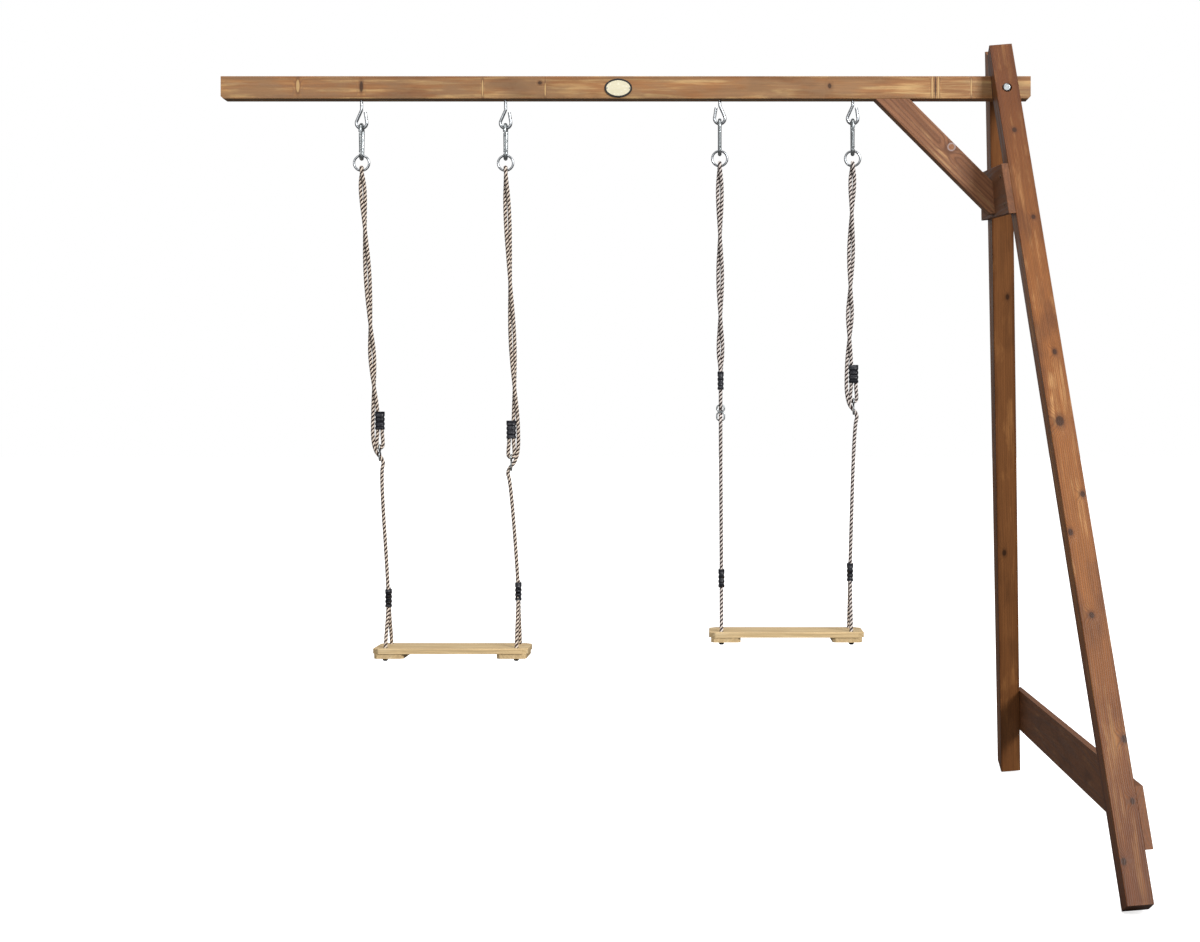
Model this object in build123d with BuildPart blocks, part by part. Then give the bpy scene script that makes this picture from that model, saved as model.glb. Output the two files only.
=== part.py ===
from build123d import *
from math import atan, cos, degrees, pi, radians, sin, sqrt, tan
import os

# Beam swing set: one beam that a single A-frame carries at its right end, with two rope
# swings under it.  The beam's left end is fastened to another structure.
# Millimetres.  Origin at the middle of the beam's left end face, +X along the beam,
# -Y towards the front, +Z up.

# ---- beam -----------------------------------------------------------------------------
BEAM_LENGTH = 2145.0
BEAM_HEIGHT = 60.0
BEAM_DEPTH = 45.0
BEAM_CORNER = 7.0           # trimmed lower corner at each end
BEAM_EDGE = 2.0             # eased long edges
AXIS_HEIGHT = 1970.0        # beam axis above the ground
UNDERSIDE = -BEAM_HEIGHT / 2

# ---- A-frame --------------------------------------------------------------------------
LEG_X = 2071.1              # where the legs' middle plane meets the beam axis
LEG_WIDTH = 60.0            # along the beam
LEG_DEPTH = 70.0
LEG_EDGE = 2.0
LEAN = degrees(atan(0.082))     # the frame leans outward, away from the swings
SPLAY = degrees(atan(0.433))    # each leg from the upright
LEG_TOP = 110.0             # outer top corner above the beam axis, in the frame's plane
LEG_NOTCH = 1947.32         # height at which its inner face would meet the beam's side
BOLT_R = 5.0
BOLT_Z = -13.0
BOLT_SEAT_Y = 88.5          # flat spot under the bolt head and under the washer
BOLT_SEAT_R = 13.0
BOLT_HEAD_R = 11.0
BOLT_HEAD_RIM = 2.0         # straight edge of its domed head
BOLT_HEAD_DOME = 3.6
BOLT_PAST_SEAT = 14.0       # thread that stands past the back seat
NUT_R, NUT_HIGH, WASHER_HIGH = 8.5, 8.0, 2.0
FREE = 0.05                 # play round a shank in its hole

# ---- boards ---------------------------------------------------------------------------
BOARD_THICK = 18.0
BOARD_HIGH = 130.0
SPREADER_LOW = 1616.0       # lower edges above the ground, at the front end
SPREADER_TILT = 0.077       # its back end is fixed higher
CROSSBAR_LOW = 137.0
BRACE_THICK = 45.0
BRACE_HIGH_X = 1824.5       # where the brace's upper and lower edges meet the beam
BRACE_LOW_X = 1732.5
SCREW_R = 2.5
SCREW_HEAD_R = 4.8
SCREW_LENGTH = 60.0
SCREW_HIGH, SCREW_TAPER = 1.6, 20.0
SCREW_FROM_MIDDLE = 38.0    # of a board's height
BRACE_TIP = 16.0            # trimmed off the brace's low corner
BRACE_SCREW_X, BRACE_SCREW_Y = 40.0, 12.0
BRACE_SCREW_LENGTH = 38.0
EASED = 2.0                 # edges of the boards and the brace

# ---- badge ----------------------------------------------------------------------------
BADGE_X = 1053.0
BADGE_Z = -2.0
BADGE_LONG, BADGE_SHORT, BADGE_THICK = 73.0, 50.0, 3.0
BADGE_RIM = 2.5
BADGE_NAIL_X = 30.0
BADGE_NAILS = ((BADGE_X - BADGE_NAIL_X, BADGE_Z), (BADGE_X + BADGE_NAIL_X, BADGE_Z))
BADGE_RECESS = 0.8
BADGE_NAIL_R, BADGE_NAIL_HEAD_R, BADGE_NAIL_LENGTH = 1.0, 2.0, 17.0

# ---- hooks, snap hooks and rings -------------------------------------------------------
HOOK_X = (369.0, 752.0, 1321.5, 1675.0)
HOOK_FACING = (1, 1, -1, 1)             # side that the eye's shaft runs down to
HOOK_WIRE_R = 4.0
HOOK_EYE_R = 14.0
HOOK_PIVOT = 1877.0 - AXIS_HEIGHT       # lowest wire of the right swing's eyes
LEFT_DROP = 12.0                        # the left swing's hooks are screwed in less deep
HOOK_IN_BEAM = 48.0
HOOK_BEND_R = 8.0                       # where its shaft turns into the eye
HOOK_SLOPE, HOOK_OPEN = 24.0, 9.0       # the eye's two sides from the upright
HOOK_LIP = 27.0                         # straight end of the eye's open side
SNAP_WIRE_R = 5.0
SNAP_TOP_R = 17.0                       # centre-line radii of its two ends
SNAP_LOW_R = 11.0
SNAP_LENGTH = 90.0                      # between the ends' centre lines
REST_GAP = 0.3                          # between links that hang in each other
GATE_R = 4.2
RIVET_R = 2.0
RIVET_ALONG = 9.0                       # from the gate side's low end
TONGUE = 1.7                            # half thickness of the tongues in the gate's slots
TONGUE_HALF = 3.4                       # half width of the tongues
RING_WIRE_R = 3.0
RING_R = 20.0

# ---- ropes ----------------------------------------------------------------------------
ROPE_R = 5.0
BORE_R = 5.15                           # rope's way through the ferrules
BORE_OFFSET = 5.6
FERRULE_LONG, FERRULE_WIDE, FERRULE_HIGH = 26.0, 16.6, 48.0
FERRULE_WAIST = 1.4                     # depth of the grooves between its ridges
LINK_WIRE_R = 2.0
LINK_WIDE = 20.0
LINK_UP, LINK_DOWN = 18.0, 23.0         # the two eyes, above and below the waist
LINK_CORNER = 8.0
LOOP_SHIFT = 6.0                        # loop's middle from the rope's straight line

# ---- seats ----------------------------------------------------------------------------
SEAT_LONG, SEAT_DEEP, SEAT_THICK = 408.0, 146.0, 14.0
SEAT_CORNER = 16.0
CLEAT_WIDE, CLEAT_THICK = 78.0, 13.0
CLEAT_SHIFT = 11.5          # cleat's middle from its rope holes, towards the seat's middle
CLEAT_DEEP = 140.0
HOLE_Y = 50.0
HOLE_R = 5.3
STOPPER_R, STOPPER_HIGH = 7.0, 7.0
STOPPER_DOME, STOPPER_TAPER = 3.0, 35.0
CLEAT_CORNER = 8.0
SEAT_SCREW_X = 24.0         # from the cleat's middle
SEAT_SCREW_R, SEAT_SCREW_HEAD_R = 1.75, 3.5
SEAT_SCREW_IN_BOARD = 10.0
SEAT_EDGE = 2.5

# Each swing: seat middle, top of the seat, its two ropes (numbers from the left).
SWINGS = {
    "left": {"seat_x": 613.5, "seat_top": 489.0, "ropes": (1, 2)},
    "right": {"seat_x": 1497.0, "seat_top": 532.0, "ropes": (3, 4)},
}
# Each rope: its seat hole, the waist of its adjuster, the undersides of its two ferrules
# (heights above the ground), the side on which the rising strand passes the upper
# ferrule, and how far up to the ring each quarter turn of the two strands comes.
ROPES = {
    1: {"hole_x": 441.0, "link": 1005.0, "upper": 1064.0, "lower": 592.0, "side": 180.0,
        "turns": (0.12, 0.24, 0.37, 0.58, 0.79, 0.93)},
    2: {"hole_x": 786.0, "link": 979.0, "upper": 1040.0, "lower": 610.0, "side": 0.0,
        "turns": (0.14, 0.34, 0.57, 0.84)},
    3: {"hole_x": 1326.0, "link": 1111.0, "upper": 1170.0, "lower": 645.0, "side": 90.0,
        "turns": (0.10, 0.27, 0.46, 0.66, 0.88)},
    4: {"hole_x": 1668.0, "link": 1128.0, "upper": 1188.0, "lower": 661.0, "side": 180.0,
        "turns": (0.13, 0.25, 0.38, 0.56, 0.76, 0.92)},
}
EDGE_REACH = 7.0                        # length of rope that bends at a hole's edge
PAIR_R = 7.4                            # control radius of the two strands round each other


def ground(height):
    """Height above the ground as a height from the beam axis."""
    return height - AXIS_HEIGHT


def drop(number):
    """How much lower a hook and what hangs on it are than the right swing's."""
    return LEFT_DROP if number in SWINGS["left"]["ropes"] else 0.0


def save(piece, name):
    piece.label = name
    export_step(piece, f"parts/{name}.step")


os.makedirs("parts", exist_ok=True)

# ---- planes ---------------------------------------------------------------------------
lean, splay = radians(LEAN), radians(SPLAY)
# Middle plane of the A-frame: x_dir along Y, its own up direction leans with the legs.
frame_plane = Plane(origin=(LEG_X, 0, 0), x_dir=(0, 1, 0), z_dir=(cos(lean), 0, sin(lean)))
swing_side = frame_plane.offset(-LEG_WIDTH / 2)
outer_side = frame_plane.offset(LEG_WIDTH / 2)
FRAME_GROUND = -AXIS_HEIGHT / cos(lean) + LEG_WIDTH / 2 * tan(lean)


def inner_y(up):
    """Distance of a leg's inner face from the middle, at a height in the frame's plane."""
    return BEAM_DEPTH / 2 + (ground(LEG_NOTCH) - up) * tan(splay)


def outer_y(up):
    return inner_y(up) + LEG_DEPTH / cos(splay)


# ---- legs -----------------------------------------------------------------------------
def leg_outline(side):
    """Outline of a leg in the frame's plane; side is -1 for the front, 1 for the back."""
    foot_y = inner_y(FRAME_GROUND)
    foot_up = FRAME_GROUND
    top_y = outer_y(LEG_TOP)
    return [(side * y, up) for y, up in (
        (foot_y, foot_up),
        (foot_y + LEG_DEPTH * cos(splay), foot_up + LEG_DEPTH * sin(splay)),
        (top_y, LEG_TOP),
        (0, LEG_TOP - top_y * tan(splay)),
        (0, ground(LEG_NOTCH) + BEAM_DEPTH / 2 / tan(splay)),
    )]


spreader_mid = (ground(SPREADER_LOW) / cos(lean)) + BOARD_HIGH / 2
crossbar_mid = (ground(CROSSBAR_LOW) / cos(lean)) + BOARD_HIGH / 2


def board_screws(up, tilt):
    """The four screw places of a board, as (y, up) in the frame's plane."""
    places = []
    for side in (-1, 1):
        side_up = up + tilt * (side + 1) * outer_y(up)
        middle = (inner_y(side_up) + outer_y(side_up)) / 2
        for dy in (-SCREW_FROM_MIDDLE, SCREW_FROM_MIDDLE):
            places.append((side * (middle - dy * tan(splay)), side_up + dy))
    return places


def make_leg(side, name):
    with BuildPart() as leg:
        with BuildSketch(frame_plane):
            with BuildLine():
                Polyline(*leg_outline(side), close=True)
            make_face()
        extrude(amount=LEG_WIDTH / 2, both=True)
        long_edges = [e for e in leg.edges() if e.length > 1500]
        fillet(long_edges, LEG_EDGE)
        with BuildSketch(Plane.YZ.offset(LEG_X - LEG_WIDTH)):
            Rectangle(BEAM_DEPTH, BEAM_HEIGHT)
        extrude(amount=2 * LEG_WIDTH, mode=Mode.SUBTRACT)
        with BuildSketch(Plane.XZ.offset(-side * BEAM_DEPTH / 2)):
            with Locations((LEG_X, BOLT_Z)):
                Circle(BOLT_R + FREE)
        extrude(amount=-side * 100, mode=Mode.SUBTRACT)
        with BuildSketch(Plane.XZ.offset(-side * BOLT_SEAT_Y)):
            with Locations((LEG_X, BOLT_Z)):
                Circle(BOLT_SEAT_R)
        extrude(amount=-side * 40, mode=Mode.SUBTRACT)
        places = [p for p in board_screws(spreader_mid, SPREADER_TILT) if p[0] * side > 0]
        with BuildSketch(swing_side):
            with Locations(*places):
                Circle(SCREW_R + FREE)
        extrude(amount=SCREW_LENGTH - BOARD_THICK, mode=Mode.SUBTRACT)
        places = [p for p in board_screws(crossbar_mid, 0) if p[0] * side > 0]
        with BuildSketch(outer_side):
            with Locations(*places):
                Circle(SCREW_R + FREE)
        extrude(amount=BOARD_THICK - SCREW_LENGTH, mode=Mode.SUBTRACT)
    save(leg.part, name)


make_leg(-1, "front_leg")
make_leg(1, "back_leg")

# ---- beam -----------------------------------------------------------------------------
with BuildPart() as beam:
    with BuildSketch(Plane.XZ):
        with BuildLine():
            Polyline(
                (0, -UNDERSIDE), (BEAM_LENGTH, -UNDERSIDE),
                (BEAM_LENGTH, UNDERSIDE + BEAM_CORNER),
                (BEAM_LENGTH - BEAM_CORNER, UNDERSIDE),
                (BEAM_CORNER, UNDERSIDE), (0, UNDERSIDE + BEAM_CORNER), close=True)
        make_face()
    extrude(amount=BEAM_DEPTH / 2, both=True)
    fillet([e for e in beam.edges() if e.length > 2000], BEAM_EDGE)
    with BuildSketch(Plane.XZ):
        with Locations((LEG_X, BOLT_Z)):
            Circle(BOLT_R + FREE)
    extrude(amount=BEAM_DEPTH, both=True, mode=Mode.SUBTRACT)
    with BuildSketch(Plane.XY.offset(UNDERSIDE)):
        with Locations(*[(x, 0) for x in HOOK_X]):
            Circle(HOOK_WIRE_R + FREE)
    extrude(amount=HOOK_IN_BEAM - LEFT_DROP + 1, mode=Mode.SUBTRACT)
    with BuildSketch(Plane.XY.offset(UNDERSIDE)):
        with Locations(*[(HOOK_X[number - 1], 0) for number in SWINGS["right"]["ropes"]]):
            Circle(HOOK_WIRE_R + FREE)
    extrude(amount=HOOK_IN_BEAM + 1, mode=Mode.SUBTRACT)
    with BuildSketch(Plane.XZ.offset(BEAM_DEPTH / 2)):
        with Locations(*BADGE_NAILS):
            Circle(BADGE_NAIL_R + FREE)
    extrude(amount=-BADGE_NAIL_LENGTH, mode=Mode.SUBTRACT)
save(beam.part, "beam")

# ---- bolt through leg, beam and leg -----------------------------------------------------
bolt_seat = Plane.XZ.offset(BOLT_SEAT_Y)        # faces the front
with BuildPart() as frame_bolt:
    with BuildSketch(bolt_seat):
        with Locations((LEG_X, BOLT_Z)):
            Circle(BOLT_R)
    extrude(amount=-2 * BOLT_SEAT_Y - BOLT_PAST_SEAT)
    with BuildSketch(bolt_seat):
        with Locations((LEG_X, BOLT_Z)):
            Circle(BOLT_HEAD_R)
    extrude(amount=BOLT_HEAD_RIM)
    with BuildSketch(bolt_seat.offset(BOLT_HEAD_RIM)):
        with Locations((LEG_X, BOLT_Z)):
            Circle(BOLT_HEAD_R)
    extrude(amount=BOLT_HEAD_DOME, taper=38)
    fillet(frame_bolt.edges().filter_by(GeomType.CIRCLE).sort_by(Axis.Y)[0], 1.6)
save(frame_bolt.part, "frame_bolt")

with BuildPart() as frame_nut:
    with BuildSketch(Plane.XZ.offset(-BOLT_SEAT_Y)):
        with Locations((LEG_X, BOLT_Z)):
            Circle(BOLT_SEAT_R - 1)
            Circle(BOLT_R + FREE, mode=Mode.SUBTRACT)
    extrude(amount=-WASHER_HIGH)
    with BuildSketch(Plane.XZ.offset(-BOLT_SEAT_Y - WASHER_HIGH)):
        with Locations((LEG_X, BOLT_Z)):
            RegularPolygon(NUT_R, 6, major_radius=False)
            Circle(BOLT_R + FREE, mode=Mode.SUBTRACT)
    extrude(amount=-NUT_HIGH)
save(frame_nut.part, "frame_nut")


# ---- boards across the legs -------------------------------------------------------------
def board_outline(middle, tilt):
    """A board cut flush with the legs' outer faces, as four corners in the frame's plane.

    middle is the height of its middle at the front end; tilt is how fast it rises backward.
    """
    reach = outer_y(middle)
    corners = []
    for side, edge in ((-1, -1), (1, -1), (1, 1), (-1, 1)):
        level = middle + edge * BOARD_HIGH / 2
        up = (level + tilt * (reach + side * outer_y(0))) / (1 + side * tilt * tan(splay))
        corners.append((side * outer_y(up), up))
    return corners


with BuildPart() as top_spreader:
    with BuildSketch(swing_side):
        with BuildLine():
            Polyline(*board_outline(spreader_mid, SPREADER_TILT), close=True)
        make_face()
        with Locations(*board_screws(spreader_mid, SPREADER_TILT)):
            Circle(SCREW_R + FREE, mode=Mode.SUBTRACT)
    extrude(amount=-BOARD_THICK)
    fillet(top_spreader.faces().sort_by(Axis.X)[0].outer_wire().edges(), EASED)
save(top_spreader.part, "top_spreader")

with BuildPart() as ground_crossbar:
    with BuildSketch(outer_side):
        with BuildLine():
            Polyline(*board_outline(crossbar_mid, 0), close=True)
        make_face()
        with Locations(*board_screws(crossbar_mid, 0)):
            Circle(SCREW_R + FREE, mode=Mode.SUBTRACT)
    extrude(amount=BOARD_THICK)
    fillet(ground_crossbar.faces().sort_by(Axis.X)[-1].outer_wire().edges(), EASED)
save(ground_crossbar.part, "ground_crossbar")


def make_screws(plane, direction, places, name):
    """Four pan-head screws standing on the board's face, driven along -direction."""
    face = plane.offset(direction * BOARD_THICK)
    with BuildPart() as screws:
        with BuildSketch(face):
            with Locations(*places):
                Circle(SCREW_R)
        extrude(amount=-direction * (SCREW_LENGTH - 1))
        with BuildSketch(face):
            with Locations(*places):
                Circle(SCREW_HEAD_R)
        extrude(amount=direction * SCREW_HIGH, taper=SCREW_TAPER)
    save(screws.part, name)


make_screws(swing_side, -1, board_screws(spreader_mid, SPREADER_TILT), "spreader_screws")
make_screws(outer_side, 1, board_screws(crossbar_mid, 0), "crossbar_screws")

# ---- knee brace ---------------------------------------------------------------------------
# Its lower end butts the spreader's face, which leans, so the brace stops at that plane.
spreader_face = swing_side.offset(-BOARD_THICK)


def spreader_x(z):
    """X of the spreader's swing-side face at a height."""
    return spreader_face.origin.X - (z - spreader_face.origin.Z) * tan(lean)


def foot_of(x_top):
    """Where a 45 degree edge from the beam's underside meets the spreader's face."""
    run = (spreader_x(UNDERSIDE) - x_top) / (1 - tan(lean))
    return x_top + run, UNDERSIDE - run


low_x, low_z = foot_of(BRACE_LOW_X)
tip_z = low_z + BRACE_TIP
brace_screw_places = [(BRACE_LOW_X + BRACE_SCREW_X, y) for y in (-BRACE_SCREW_Y, BRACE_SCREW_Y)]
with BuildPart() as knee_brace:
    with BuildSketch(Plane.XZ):
        with BuildLine():
            Polyline(
                (BRACE_LOW_X, UNDERSIDE), (BRACE_HIGH_X, UNDERSIDE), foot_of(BRACE_HIGH_X),
                (spreader_x(tip_z), tip_z), (low_x - BRACE_TIP, tip_z), close=True)
        make_face()
    extrude(amount=BRACE_THICK / 2, both=True)
    fillet([e for e in knee_brace.edges() if e.length > 250], EASED)
    with BuildSketch(Plane.XY.offset(UNDERSIDE)):
        with Locations(*brace_screw_places):
            Circle(SCREW_R + FREE)
    extrude(amount=-2 * BRACE_SCREW_LENGTH, mode=Mode.SUBTRACT)
save(knee_brace.part, "knee_brace")

with BuildPart() as brace_screws:
    with BuildSketch(Plane.XY.offset(UNDERSIDE)):
        with Locations(*brace_screw_places):
            Circle(SCREW_R)
    extrude(amount=-BRACE_SCREW_LENGTH)
save(brace_screws.part, "brace_screws")

# ---- badge ------------------------------------------------------------------------------------
badge_face = Plane.XZ.offset(BEAM_DEPTH / 2)
with BuildPart() as badge:
    with BuildSketch(badge_face):
        with Locations((BADGE_X, BADGE_Z)):
            Ellipse(BADGE_LONG / 2, BADGE_SHORT / 2)
        with Locations(*BADGE_NAILS):
            Circle(BADGE_NAIL_R + FREE, mode=Mode.SUBTRACT)
    extrude(amount=BADGE_THICK)
    with BuildSketch(badge_face.offset(BADGE_THICK)):
        with Locations((BADGE_X, BADGE_Z)):
            Ellipse(BADGE_LONG / 2 - BADGE_RIM, BADGE_SHORT / 2 - BADGE_RIM)
    extrude(amount=-BADGE_RECESS, mode=Mode.SUBTRACT)
save(badge.part, "badge")

with BuildPart() as badge_nails:
    with BuildSketch(badge_face.offset(BADGE_THICK - BADGE_RECESS)):
        with Locations(*BADGE_NAILS):
            Circle(BADGE_NAIL_R)
    extrude(amount=-BADGE_NAIL_LENGTH)
    with BuildSketch(badge_face.offset(BADGE_THICK - BADGE_RECESS)):
        with Locations(*BADGE_NAILS):
            Circle(BADGE_NAIL_HEAD_R)
    extrude(amount=BADGE_RECESS, taper=SCREW_TAPER)
save(badge_nails.part, "badge_nails")


# ---- screw hooks --------------------------------------------------------------------------------
def make_hook(number, x, facing):
    """A screw with a pear-shaped open eye; the eye's plane runs along the beam."""
    slant = radians(HOOK_SLOPE)
    straight = (HOOK_EYE_R * cos(slant) - HOOK_BEND_R * (1 - cos(slant))) / sin(slant)
    neck = (HOOK_PIVOT + HOOK_EYE_R + (HOOK_EYE_R + HOOK_BEND_R) * sin(slant)
            + straight * cos(slant))
    top = UNDERSIDE + HOOK_IN_BEAM
    with BuildPart() as hook:
        with BuildLine(Plane.XZ) as wire:
            shaft = Line((x, top), (x, neck))
            turn = JernArc(shaft @ 1, shaft % 1, HOOK_BEND_R, -facing * HOOK_SLOPE)
            down = Line(turn @ 1, turn @ 1 + (turn % 1) * straight)
            eye = JernArc(down @ 1, down % 1, HOOK_EYE_R, facing * (HOOK_SLOPE + 180 + HOOK_OPEN))
            Line(eye @ 1, eye @ 1 + (eye % 1) * HOOK_LIP)
        with BuildSketch(Plane.XY.offset(top)):
            with Locations((x, 0)):
                Circle(HOOK_WIRE_R)
        sweep(path=wire.line)
        chamfer(hook.faces().sort_by(Axis.Z)[-1].edges(), 2.5)
    save(hook.part.moved(Location((0, 0, -drop(number)))), f"hook_{number}")


for number, (x, facing) in enumerate(zip(HOOK_X, HOOK_FACING), 1):
    make_hook(number, x, facing)

# ---- snap hooks, in planes across the beam -------------------------------------------------------
snap_high = HOOK_PIVOT + HOOK_WIRE_R + REST_GAP + SNAP_WIRE_R    # centre line at its top
snap_low = snap_high - SNAP_LENGTH
upper_centre = snap_high - SNAP_TOP_R
lower_centre = snap_low + SNAP_LOW_R
widening = (SNAP_TOP_R - SNAP_LOW_R) / (upper_centre - lower_centre)    # sine of its sides' slope
side_out = sqrt(1 - widening ** 2)
spine_low = (SNAP_LOW_R * side_out, lower_centre - SNAP_LOW_R * widening)
spine_high = (SNAP_TOP_R * side_out, upper_centre - SNAP_TOP_R * widening)
side_y, side_z = spine_high[0] - spine_low[0], spine_high[1] - spine_low[1]
side_length = sqrt(side_y ** 2 + side_z ** 2)
GATE_TOP = side_length - 5
ring_top = snap_low + SNAP_WIRE_R + REST_GAP + RING_WIRE_R
ring_centre = ring_top - RING_R
ring_bottom = ring_centre - RING_R


def gate_point(along, out=0.0):
    """A point of the gate side: along it from its low end, and outward from its line."""
    unit_y, unit_z = side_y / side_length, side_z / side_length
    return (-(spine_low[0] + unit_y * along + unit_z * out),
            spine_low[1] + unit_z * along - unit_y * out)


def gate_strip(plane, along_from, along_to, half_wide):
    """A flat strip along the gate's line, in the plane of a snap hook."""
    with BuildSketch(plane) as strip:
        with BuildLine():
            Polyline(gate_point(along_from, -half_wide), gate_point(along_to, -half_wide),
                     gate_point(along_to, half_wide), gate_point(along_from, half_wide),
                     close=True)
        make_face()
    return strip.sketch


def make_snap(x, number):
    middle = Plane.YZ.offset(x)
    with BuildPart() as carabiner:
        with BuildLine(middle) as wire:
            Line(gate_point(2), gate_point(0))
            ThreePointArc(gate_point(0), (0, snap_low), spine_low)
            Line(spine_low, spine_high)
            ThreePointArc(spine_high, (0, snap_high), gate_point(side_length))
            Line(gate_point(side_length), gate_point(GATE_TOP + 2))
        with BuildSketch(Plane(origin=wire.line @ 0, z_dir=wire.line % 0)):
            Circle(SNAP_WIRE_R)
        sweep(path=wire.line)
        extrude(gate_strip(middle, 0, RIVET_ALONG + 3, TONGUE_HALF), amount=TONGUE, both=True)
        extrude(gate_strip(middle, GATE_TOP - 7, GATE_TOP + 3, TONGUE_HALF), amount=TONGUE,
                both=True)
        with BuildSketch(middle):
            with Locations(gate_point(RIVET_ALONG)):
                Circle(RIVET_R)
        extrude(amount=TONGUE + 1, both=True, mode=Mode.SUBTRACT)
    save(carabiner.part.moved(Location((0, 0, -drop(number)))), f"carabiner_{number}")

    low_end, high_end = RIVET_ALONG - GATE_R, GATE_TOP - 2 * REST_GAP
    axis_start, axis_end = gate_point(low_end), gate_point(high_end)
    along = (0, axis_end[0] - axis_start[0], axis_end[1] - axis_start[1])
    with BuildPart() as gate:
        with BuildSketch(Plane(origin=(x, *axis_start), z_dir=along, x_dir=(1, 0, 0))):
            Circle(GATE_R)
        extrude(amount=high_end - low_end)
        for slot in ((low_end - 1, RIVET_ALONG + 5), (GATE_TOP - 9, GATE_TOP + 1)):
            extrude(gate_strip(middle, *slot, GATE_R + 1), amount=TONGUE + REST_GAP, both=True,
                    mode=Mode.SUBTRACT)
        with BuildSketch(middle):
            with Locations(gate_point(RIVET_ALONG)):
                Circle(RIVET_R + FREE)
        extrude(amount=GATE_R + 1, both=True, mode=Mode.SUBTRACT)
    save(gate.part.moved(Location((0, 0, -drop(number)))), f"gate_{number}")


for number, x in enumerate(HOOK_X, 1):
    make_snap(x, number)

# ---- rings, in the plane of the beam ----------------------------------------------------------------
for number, x in enumerate(HOOK_X, 1):
    with BuildPart() as ring:
        with BuildSketch(Plane.XY.offset(ring_centre)):
            with Locations((x + RING_R, 0)):
                Circle(RING_WIRE_R)
        revolve(axis=Axis((x, 0, ring_centre), (0, 1, 0)))
    save(ring.part.moved(Location((0, 0, -drop(number)))), f"ring_{number}")


# ---- ropes ---------------------------------------------------------------------------------------------
def rope_frame(number):
    """Middle of a rope's loop below its upper ferrule, and the direction of its side."""
    rope = ROPES[number]
    top_x, low_x = HOOK_X[number - 1], rope["hole_x"]
    low_z, high_z = ground(rope["lower"]), ring_bottom - drop(number)
    share = (ground(rope["upper"]) - low_z) / (high_z - low_z)
    side = (cos(radians(rope["side"])), sin(radians(rope["side"])))
    middle_x = low_x + (top_x - low_x) * share - LOOP_SHIFT * side[0]
    return middle_x, -LOOP_SHIFT * side[1], side


def rope_point(number, along, height):
    """A point beside the loop's middle: along the rope's side, at a height."""
    middle_x, middle_y, side = rope_frame(number)
    return (middle_x + along * side[0], middle_y + along * side[1], height)


def strand_points(number, opposite):
    """One strand's quarter turns round the other, from the ferrule up to the ring."""
    rope = ROPES[number]
    low = ground(rope["upper"]) + FERRULE_HIGH
    high = ring_bottom - drop(number)
    middle = rope_point(number, 2 * LOOP_SHIFT, low)
    points = []
    for count, share in enumerate(rope["turns"], 1):
        angle = radians(rope["side"] - 90 * count + (180 if opposite else 0))
        points.append((
            middle[0] + (HOOK_X[number - 1] - middle[0]) * share + PAIR_R * cos(angle),
            middle[1] * (1 - share) + PAIR_R * sin(angle),
            low + (high - low) * share))
    return points


def rope_route(number):
    """The rope from the seat's front hole up to the ring, and back to its ferrule."""
    rope = ROPES[number]
    swing = SWINGS["left" if number <= 2 else "right"]
    hole_x, top_x = rope["hole_x"], HOOK_X[number - 1]
    seat = ground(swing["seat_top"])
    under = seat - SEAT_THICK - CLEAT_THICK - 3
    lower = ground(rope["lower"])
    link = ground(rope["link"])
    upper = ground(rope["upper"])
    ring = ring_bottom - drop(number)
    over = ROPE_R + RING_WIRE_R + 0.9           # rope's centre line round the ring's wire
    side = over * tan(radians(22.5))
    return [
        (hole_x, -HOLE_Y, under),
        (hole_x, -HOLE_Y, seat + 10),
        (hole_x, -BORE_OFFSET, lower - 8),
        (hole_x, -BORE_OFFSET, lower + FERRULE_HIGH + 8),
        rope_point(number, -2, link - 52),
        rope_point(number, -13, link - 24.5),
        rope_point(number, 19.5, link + 8),
        rope_point(number, 18.5, upper + FERRULE_HIGH + 6),
        *strand_points(number, False),
        (top_x, -over, ring + side),
        (top_x, -side, ring + over),
        (top_x, side, ring + over),
        (top_x, over, ring + side),
        *reversed(strand_points(number, True)),
        rope_point(number, BORE_OFFSET, upper + FERRULE_HIGH + 8),
        rope_point(number, BORE_OFFSET, upper - 8),
        rope_point(number, 8.2, link + 30),
        rope_point(number, 8.0, link + 10.7),
        rope_point(number, -8.0, link + 10.7),
        rope_point(number, -8.2, link + 30),
        rope_point(number, -BORE_OFFSET, upper - 8),
        rope_point(number, -BORE_OFFSET, upper + FERRULE_HIGH - 6),
    ]


def bridle_route(number):
    """The short rope end from the lower ferrule to the seat's back hole."""
    rope = ROPES[number]
    swing = SWINGS["left" if number <= 2 else "right"]
    seat = ground(swing["seat_top"])
    lower = ground(rope["lower"])
    return [
        (rope["hole_x"], BORE_OFFSET, lower + FERRULE_HIGH + 3),
        (rope["hole_x"], BORE_OFFSET, lower - 8),
        (rope["hole_x"], HOLE_Y, seat + 10),
        (rope["hole_x"], HOLE_Y, seat - SEAT_THICK - CLEAT_THICK - 3),
    ]


def corner_radii(points, tight):
    """As large an arc at each corner as its shorter run allows, or one that reaches only
    EDGE_REACH along its runs where tight rope bends at the edge of a hole."""
    radii = []
    for number, (before, here, after) in enumerate(zip(points, points[1:], points[2:]), 1):
        first, second = Vector(*here) - Vector(*before), Vector(*after) - Vector(*here)
        turn = radians(first.get_angle(second))
        reach = 0.45 * min(first.length, second.length)
        if number in tight or number - len(points) in tight:
            reach = min(reach, EDGE_REACH)
        radii.append(round(reach / tan(turn / 2), 2))
    return radii


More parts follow.
